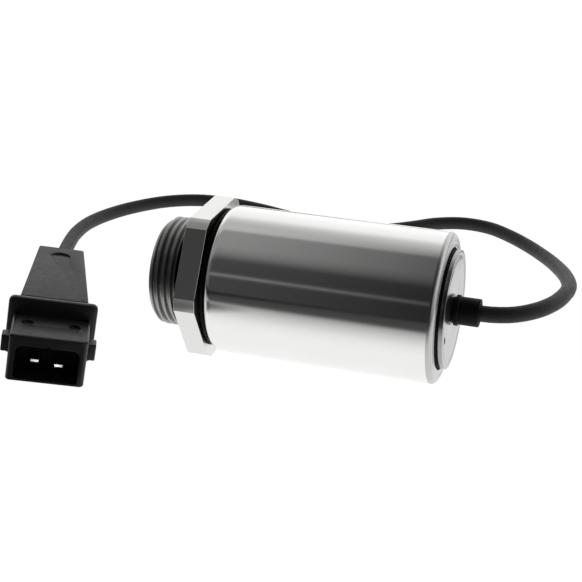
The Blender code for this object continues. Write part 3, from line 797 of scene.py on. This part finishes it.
def make_boot(rubber):
    """Tapered boot with a pocket for the hub and a bore for the cable."""
    def outside(y, shrink=0.0):
        t = (y - BOOT_FRONT) / (BOOT_END - BOOT_FRONT)
        width, height = (a + (b - a) * t for a, b in zip(BOOT_FRONT_SIZE, BOOT_END_SIZE))
        return (y, BOOT_Z, width - 2 * shrink, height - 2 * shrink, 0.5 * MM, 0.5 * MM)

    edge = 0.2 * MM
    joint_depth = 0.5 * MM
    joint_back = JOINT_Y + 0.9 * MM
    bore = 2 * (CABLE_R + GAP)
    chamber_end = HUB_END + 4.5 * MM
    boot = lofted("plug_boot", [
        (BOOT_FRONT, BOOT_Z, *HUB_POCKET, MM, MM),
        outside(BOOT_FRONT, edge), outside(BOOT_FRONT + edge * 0.3, edge * 0.3),
        outside(BOOT_FRONT + edge), outside(JOINT_Y), outside(JOINT_Y, joint_depth),
        outside(joint_back, joint_depth), outside(joint_back),
        outside(BOOT_END - 1.5 * edge),
        outside(BOOT_END - edge * 0.4, edge * 0.5), outside(BOOT_END, 1.5 * edge),
        (BOOT_END, BOOT_Z, bore + 0.3 * MM, bore + 0.3 * MM, bore / 2, bore / 2),
        (BOOT_END - 0.3 * MM, BOOT_Z, bore, bore, bore / 2, bore / 2),
        (chamber_end, BOOT_Z, bore, bore, bore / 2, bore / 2),
        (chamber_end, BOOT_Z, 5.0 * MM, 5.0 * MM, MM, MM),
        (HUB_END + GAP, BOOT_Z, *HUB_POCKET, MM, MM),
    ], rubber, closed=True)
    mark_y = 44.0 * MM
    fall = (BOOT_END_SIZE[1] - BOOT_FRONT_SIZE[1]) / 2 / (BOOT_END - BOOT_FRONT)
    top = BOOT_Z + BOOT_FRONT_SIZE[1] / 2 + fall * (mark_y - BOOT_FRONT)
    lean = Vector((0, 0.15 - fall, 1.0)).normalized()
    floor = Vector((0, mark_y, top)) - lean * 0.24 * MM
    cut(boot, rod("pin_mark", PLUG_PLACE @ floor, PLUG_PLACE @ (floor + lean * 1.5 * MM),
                  2.3 * MM, sides=64))
    resharpen(boot, 30)
    return stands_for(boot, "connector_boot")


def make_contact(side, x, tin):
    """A 2.8 x 0.8 mm blade with a narrowed tip whose end slopes back.

    shape holds (distance behind the tip, half width, half thickness, rise) in millimetres.
    """
    shape = ((0.0, 0.82, 0.06, -0.20), (0.16, 0.92, 0.28, 0.0), (1.2, 1.32, 0.38, 0.0),
             (1.8, 1.4, 0.4, 0.0))
    sections = []
    for y, half, thick, rise in shape:
        sections.append((CONTACT_TIPS[side] + y * MM, CONTACT_Z + rise * MM,
                         2 * half * MM, 2 * thick * MM, 0.04 * MM, 0.04 * MM))
    sections.append((HUB_END, CONTACT_Z, 2.8 * MM, 0.8 * MM, 0.04 * MM, 0.04 * MM))
    place = PLUG_PLACE @ Matrix.Translation((x, 0, 0))
    blade = lofted("blade_" + side, sections, tin, place=place, sharp=20)
    return stands_for(blade, "contact_" + side)


def make_cable(pvc):
    """Flying lead from inside the gland to inside the boot, as one round curve."""
    inside_boot = BOOT_FRONT + 12.0 * MM
    plug_end = [plug_point(0, y, BOOT_Z)
                for y in (BOOT_END + 3.0 * MM, BOOT_END - 2.0 * MM, inside_boot)]
    route = [Vector((CABLE_START, 0, AXIS_Z)), Vector((33.5 * MM, 0, AXIS_Z))]
    route += [Vector(p) * MM for p in CABLE_ROUTE]
    route += plug_end
    points = smooth_route(route, 1.8 * MM)
    curve = bpy.data.curves.new("flying_lead", "CURVE")
    curve.dimensions = "3D"
    curve.bevel_depth = CABLE_R
    curve.bevel_resolution = 8
    curve.use_fill_caps = True
    curve.materials.append(pvc)
    spline = curve.splines.new("POLY")
    spline.points.add(len(points) - 1)
    for point, place in zip(spline.points, points):
        point.co = (*place, 1.0)
    spline.use_smooth = True
    lead = bpy.data.objects.new("flying_lead", curve)
    bpy.context.scene.collection.objects.link(lead)
    stands_for(lead, "cable")


# ---- studio -----------------------------------------------------------------
def ramp(tree, value, stops):
    """Brightness ramp; stops are (position from 0 to 1, grey)."""
    made = tree.nodes.new("ShaderNodeValToRGB")
    points = made.color_ramp.elements
    while len(points) < len(stops):
        points.new(0.5)
    for point, (position, grey) in zip(points, stops):
        point.position = position
        point.color = (grey, grey, grey, 1.0)
    tree.links.new(value, made.inputs["Fac"])
    return made.outputs["Color"]


def make_sky():
    """Room light: white behind the object, grey above, dark towards the camera."""
    world = bpy.data.worlds.new("studio")
    world.use_nodes = True
    bpy.context.scene.world = world
    tree = world.node_tree
    split = tree.nodes.new("ShaderNodeSeparateXYZ")
    tree.links.new(tree.nodes.new("ShaderNodeTexCoord").outputs["Generated"],
                   split.inputs["Vector"])
    forward = math_node(tree, "MULTIPLY", split.outputs["Y"], -1.0)
    height = math_node(tree, "ABSOLUTE", split.outputs["Z"])
    turn = math_node(tree, "ARCTAN2", height, forward)
    share = math_node(tree, "DIVIDE", turn, math.pi)
    degrees = [(0, 0.035), (23, 0.035), (26.5, 0.15), (30, 0.035), (50, 0.04), (62, 0.13),
               (72, 0.17), (100, 0.18), (104, 0.36), (118, 0.50), (126, 0.62), (138, 1.0),
               (158, 1.12), (180, 1.20)]
    light = ramp(tree, share, [(angle / 180, grey) for angle, grey in degrees])
    sideways = split.outputs["X"]
    fade = math_node(tree, "SUBTRACT", -0.265, math_node(tree, "MULTIPLY", sideways, 5.5))
    fade = math_node(tree, "MINIMUM", math_node(tree, "MAXIMUM", fade, 0.4), 1.6)
    low = ramp(tree, share, [(0, 1.0), (100 / 180, 1.0), (118 / 180, 0.0), (1, 0.0)])
    extra = math_node(tree, "MULTIPLY", math_node(tree, "SUBTRACT", fade, 1.0), low)
    light = math_node(tree, "MULTIPLY", light, math_node(tree, "ADD", extra, 1.0))
    across = math_node(tree, "ADD", math_node(tree, "MULTIPLY", sideways, 0.5), 0.5)
    sides = [(-1.0, 0.15), (-0.75, 0.10), (-0.45, 0.0), (0.25, 0.0), (0.65, 0.08), (0.9, 0.42),
             (1.0, 0.50)]
    panels = ramp(tree, across, [(x * 0.5 + 0.5, grey) for x, grey in sides])
    light = math_node(tree, "MAXIMUM", light, panels)
    seen = tree.nodes.new("ShaderNodeLightPath").outputs["Is Camera Ray"]
    light = math_node(tree, "MAXIMUM", light, seen)
    tree.links.new(light, tree.nodes["Background"].inputs["Color"])


def table_glow(tree, place):
    """Table brightness: falls off to the front and the sides, dark round the plug."""
    split = tree.nodes.new("ShaderNodeSeparateXYZ")
    tree.links.new(place, split.inputs["Vector"])
    depth = math_node(tree, "ADD", math_node(tree, "MULTIPLY", split.outputs["Y"], 2.0), 0.5)
    fall = [(-250, 0.035), (-97, 0.045), (-83, 0.075), (-71, 0.28), (-61, 0.44), (-50, 0.56),
            (-37, 0.76), (-30, 0.91), (-22, 1.0), (250, 1.0)]
    glow = ramp(tree, depth, [(y * MM * 2 + 0.5, grey) for y, grey in fall])
    across = math_node(tree, "ADD", math_node(tree, "MULTIPLY", split.outputs["X"], 2.0), 0.5)
    ends = [(-250, 0.10), (-115, 0.12), (-80, 1.0), (80, 1.0), (120, 0.50), (250, 0.45)]
    sides = ramp(tree, across, [(x * MM * 2 + 0.5, grey) for x, grey in ends])
    glow = math_node(tree, "MULTIPLY", glow, sides)
    shift = tree.nodes.new("ShaderNodeMapping")
    shift.vector_type = "TEXTURE"
    shift.inputs["Location"].default_value = (-0.047, -0.049, 0.0)
    shift.inputs["Scale"].default_value = (0.024, 0.023, 1.0)
    tree.links.new(place, shift.inputs["Vector"])
    spot = tree.nodes.new("ShaderNodeTexGradient")
    spot.gradient_type = "SPHERICAL"
    tree.links.new(shift.outputs["Vector"], spot.inputs["Vector"])
    shadow = ramp(tree, spot.outputs["Fac"], [(0.0, 1.0), (0.45, 0.22), (1.0, 0.12)])
    return math_node(tree, "MULTIPLY", glow, shadow)


def make_floor():
    """Backlit table, plain white to the camera."""
    bm = bmesh.new()
    bmesh.ops.create_grid(bm, x_segments=1, y_segments=1, size=6.0)
    floor = finished(bm, "table", None)
    material = bpy.data.materials.new("table_white")
    material.use_nodes = True
    tree = material.node_tree
    shader = tree.nodes["Principled BSDF"]
    shader.inputs["Base Color"].default_value = (0.05, 0.05, 0.05, 1.0)
    shader.inputs["Roughness"].default_value = 0.9
    shader.inputs["Specular IOR Level"].default_value = 0.0
    shader.inputs["Emission Color"].default_value = (1.0, 1.0, 1.0, 1.0)
    place = tree.nodes.new("ShaderNodeTexCoord").outputs["Object"]
    glow = table_glow(tree, place)
    seen = tree.nodes.new("ShaderNodeLightPath").outputs["Is Camera Ray"]
    level = math_node(tree, "MAXIMUM", glow, seen)
    tree.links.new(level, shader.inputs["Emission Strength"])
    floor.data.materials.append(material)
    floor.location.z = -0.02 * MM


def make_mouth_lamp():
    """Narrow lamp whose reflection lights the sloped ends of the contacts."""
    tips = plug_point(0, CONTACT_TIPS["right"], CONTACT_Z)
    slope = (plug_point(0, -0.42, 0.16) - plug_point(0, 0, 0)).normalized()
    view = (bpy.context.scene.camera.matrix_world.translation - tips).normalized()
    toward = 2 * view.dot(slope) * slope - view
    distance = 0.25
    data = bpy.data.lights.new("mouth_lamp", "SPOT")
    data.energy = 0.02
    data.spot_size = math.radians(6.0)
    data.spot_blend = 0.5
    data.shadow_soft_size = 0.008
    lamp = bpy.data.objects.new("mouth_lamp", data)
    bpy.context.scene.collection.objects.link(lamp)
    lamp.matrix_world = (Matrix.Translation(tips + toward * distance)
                         @ toward.to_track_quat("Z", "Y").to_matrix().to_4x4())


# ---- everything -------------------------------------------------------------
def dress_inner_nodes():
    """Materials for the CAD nodes that stay as they are."""
    steel = metal("soft_iron", (0.42, 0.42, 0.43), 0.38)
    bright = metal("ground_steel", (0.62, 0.62, 0.61), 0.24)
    brass = metal("brass", (0.80, 0.56, 0.22), 0.26)
    rubber = polymer("seal_rubber", (0.022, 0.022, 0.023), 0.5)
    soft_seal = polymer("soft_seal", (0.32, 0.06, 0.035), 0.45)
    nylon = polymer("bobbin_nylon", (0.74, 0.70, 0.60), 0.48, patches=0.93)
    tape = banded("coil_tape", (0.62, 0.46, 0.10), (0.45, 0.32, 0.06), 0.42, 55.0, 0.03 * MM)
    red = polymer("lead_red", (0.42, 0.035, 0.028), 0.4)
    grey = polymer("lead_grey", (0.20, 0.20, 0.22), 0.45)
    looks = {
        "seat_insert": brass, "anti_residual_disc": brass,
        "filter_screen": bright, "guide_tube": bright, "armature": bright, "core_nut": bright,
        "front_pole_ring": steel, "pole_core": steel, "rear_flux_washer": steel,
        "tube_o_ring": rubber, "poppet_seal": soft_seal, "bobbin": nylon, "coil_wrap": tape,
        "coil_lead_left": red, "coil_lead_right": red,
        "conductor_left": grey, "conductor_right": grey,
    }
    for name, material in looks.items():
        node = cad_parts[name]
        node.data.materials.clear()
        node.data.materials.append(material)


def main():
    make_camera()
    pvc = polymer("lead_pvc", (0.039, 0.039, 0.040), 0.55, grain=2600.0, grain_depth=0.03 * MM,
                  specular=0.2)
    nylon = polymer("plug_nylon", (0.013, 0.013, 0.0135), 0.38, specular=0.5)
    boot_rubber = polymer("boot_rubber", (0.085, 0.085, 0.086), 0.6, specular=0.35)
    seal_rubber = polymer("ring_rubber", (0.009, 0.009, 0.0095), 0.55, specular=0.12)
    tin = metal("tin_plate", (0.95, 0.94, 0.91), 0.20, spread=0.02, lay="none")
    housing = make_housing(nylon)
    boot = make_boot(boot_rubber)
    blades = [make_contact(side, sign * CONTACT_PITCH / 2, tin)
              for side, sign in (("left", -1), ("right", 1))]
    make_cable(pvc)
    # The thread is painted darker as shade for its dim flanks, and made rougher.
    make_nose(metal("nickel_steel", (0.78, 0.78, 0.765), 0.17, spread=0.03,
                    painted_shade_rough_span=(NOSE_X - MM, THREAD_END, 0.42)))
    # The rolled lip at the rear is painted darker as shade for its dimmer reflection, and made
    # rougher.
    make_barrel(metal("nickel_barrel", (0.86, 0.86, 0.85), 0.115, spread=0.02,
                      line_depth=0.0012 * MM, patches=0.97,
                      painted_shade_rough_span=(BARREL_REAR - 1.25 * MM, BARREL_REAR + MM, 0.6)))
    make_seals(seal_rubber)
    make_end_plate(metal("zinc_plate", (0.37, 0.37, 0.37), 0.19, spread=0.03, lay="faced",
                         line_depth=0.002 * MM))
    make_gland(seal_rubber)
    make_return_spring(metal("spring_wire", (0.62, 0.61, 0.58), 0.25, lay="none"))
    make_winding(banded("enamelled_copper", (0.72, 0.26, 0.09), (0.35, 0.10, 0.03), 0.28,
                        450.0, 0.02 * MM, metallic=1.0))
    dress_inner_nodes()
    make_sky()
    make_floor()
    make_mouth_lamp()
    bpy.context.scene.view_settings.view_transform = "Standard"


main()
